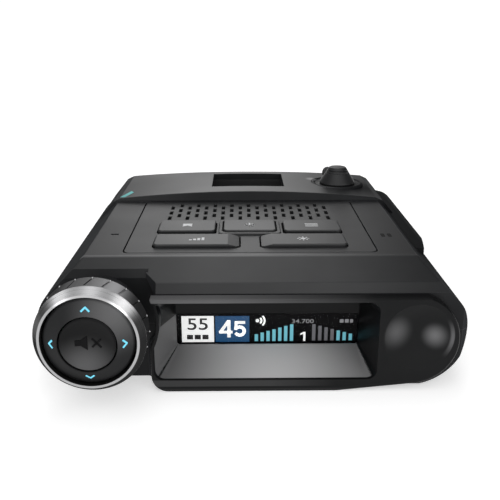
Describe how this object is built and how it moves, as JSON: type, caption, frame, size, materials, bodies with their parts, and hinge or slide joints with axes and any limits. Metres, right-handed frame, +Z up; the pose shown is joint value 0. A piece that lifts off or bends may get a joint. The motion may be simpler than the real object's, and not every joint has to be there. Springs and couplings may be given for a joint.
{
  "type": "radar detector",
  "caption": "Dashboard radar and laser detector with a recessed display, a turning control knob, top keys, speaker slots, a dock well and a swivelling camera head.",
  "frame": {"origin": "centre of the bounding box at the level of the flat base", "axes": "+Z up through the top keys, +Y towards the road, +X to the driver's right; the display and knob face -Y"},
  "size_m": [0.1234, 0.1282, 0.0444],
  "materials": {
    "housing_plastic": "satin moulded charcoal with a fine texture",
    "panel_plastic": "satin charcoal, a shade darker than the housing",
    "bezel_plastic": "semi-gloss near-black",
    "key_plastic": "satin charcoal with pale marks",
    "pad_plastic": "satin black",
    "arrow_light": "lit cyan light guides",
    "sleeve_metal": "dark metallic with fine turning lines",
    "trim_metal": "silver, brushed around the axis",
    "stud_metal": "polished",
    "camera_plastic": "satin near-black",
    "barrel_plastic": "ribbed near-black",
    "lens_glass": "coated lens glass",
    "window_glass": "clear cover over the screen",
    "screen_black": "dark screen",
    "laser_red": "dark red infrared window",
    "laser_lens": "clear red lenses",
    "circuit_green": "solder-masked circuit board",
    "can_metal": "tinned steel",
    "horn_metal": "die-cast, dull",
    "screw_steel": "black-zinc plated",
    "contact_gold": "gold-plated",
    "magnet_metal": "nickel plated",
    "rubber_grey": "moulded silicone",
    "inner_plastic": "black moulded plastic",
    "dock_plastic": "black moulded plastic",
    "cone_paper": "pressed paper",
    "mesh_cloth": "woven acoustic cloth",
    "cell_sleeve": "shrink sleeve",
    "cable_film": "amber flexible film",
    "card_plastic": "black"
  },
  "bodies": {
    "housing": {"upper_housing": "housing_plastic", "lower_housing": "housing_plastic", "camera_collar": "housing_plastic", "knob_base": "housing_plastic", "key_panel": "panel_plastic", "power_key_ring": "panel_plastic", "front_bezel": "bezel_plastic", "display_window": "window_glass", "display_panel": "screen_black", "laser_window": "laser_red", "laser_lenses": "laser_lens", "main_board": "circuit_green", "key_board": "circuit_green", "laser_board": "circuit_green", "pad_board": "circuit_green", "encoder_sensor": "circuit_green", "shield_cans": "can_metal", "card_slot": "can_metal", "dome_switches": "can_metal", "road_horn": "horn_metal", "cabin_horn": "horn_metal", "radar_receiver": "horn_metal", "heat_spreader": "horn_metal", "housing_screws": "screw_steel", "board_screws": "screw_steel", "knob_clip": "screw_steel", "service_port": "screw_steel", "dock_contacts": "contact_gold", "dock_magnets": "magnet_metal", "speaker_magnet": "magnet_metal", "key_pad": "rubber_grey", "speaker_basket": "inner_plastic", "mute_guide": "inner_plastic", "microphones": "inner_plastic", "dock_socket": "dock_plastic", "speaker_cone": "cone_paper", "speaker_mesh": "mesh_cloth", "backup_cell": "cell_sleeve", "key_cable": "cable_film"},
    "dial": {"knob_sleeve": "sleeve_metal", "knob_trim_ring": "trim_metal", "knob_studs": "stud_metal", "encoder_wheel": "inner_plastic"},
    "gimbal": {"pad_gimbal": "inner_plastic"},
    "pad": {"direction_pad": "pad_plastic", "arrow_lights": "arrow_light"},
    "mute": {"mute_key": "pad_plastic"},
    "mark": {"mark_key": "key_plastic"},
    "power": {"power_key": "key_plastic"},
    "function": {"function_key": "key_plastic"},
    "sensitivity": {"sensitivity_key": "key_plastic"},
    "brightness": {"brightness_key": "key_plastic"},
    "camera_head": {"camera_turret": "camera_plastic", "turret_cap": "camera_plastic", "turret_ring": "camera_plastic", "lens_barrel": "barrel_plastic", "camera_lens": "lens_glass", "image_sensor": "inner_plastic"},
    "card": {"memory_card": "card_plastic"}
  },
  "joints": [
    {"name": "knob_turn", "type": "hinge", "parent": "housing", "child": "dial", "pos_m": [-0.0423, -0.058, 0.0214], "axis": [0, 1, 0], "continuous": true},
    {"name": "pad_pitch", "type": "hinge", "parent": "housing", "child": "gimbal", "pos_m": [-0.0423, -0.0598, 0.0214], "axis": [1, 0, 0], "range_deg": [-2.5, 2.5], "stiffness_Nm_per_rad": 0.1},
    {"name": "pad_yaw", "type": "hinge", "parent": "gimbal", "child": "pad", "pos_m": [-0.0423, -0.0598, 0.0214], "axis": [0, 0, 1], "range_deg": [-2.5, 2.5], "stiffness_Nm_per_rad": 0.1},
    {"name": "mute_press", "type": "slide", "parent": "housing", "child": "mute", "axis": [0, 1, 0], "range_m": [0, 0.0008], "stiffness_N_per_m": 1200},
    {"name": "mark_press", "type": "slide", "parent": "housing", "child": "mark", "axis": [0, 0, -1], "range_m": [0, 0.0005], "stiffness_N_per_m": 1500},
    {"name": "power_press", "type": "slide", "parent": "housing", "child": "power", "axis": [0, 0, -1], "range_m": [0, 0.0005], "stiffness_N_per_m": 1500},
    {"name": "function_press", "type": "slide", "parent": "housing", "child": "function", "axis": [0, 0, -1], "range_m": [0, 0.0005], "stiffness_N_per_m": 1500},
    {"name": "sensitivity_press", "type": "slide", "parent": "housing", "child": "sensitivity", "axis": [0, 0, -1], "range_m": [0, 0.0005], "stiffness_N_per_m": 1500},
    {"name": "brightness_press", "type": "slide", "parent": "housing", "child": "brightness", "axis": [0, 0, -1], "range_m": [0, 0.0005], "stiffness_N_per_m": 1500},
    {"name": "camera_swivel", "type": "hinge", "parent": "housing", "child": "camera_head", "pos_m": [0.0353, 0.044, 0.04], "axis": [0, 0, 1], "range_deg": [-50, 20]},
    {"name": "card_slide", "type": "slide", "parent": "housing", "child": "card", "axis": [1, 0, 0], "range_m": [0, 0.012]}
  ]
}
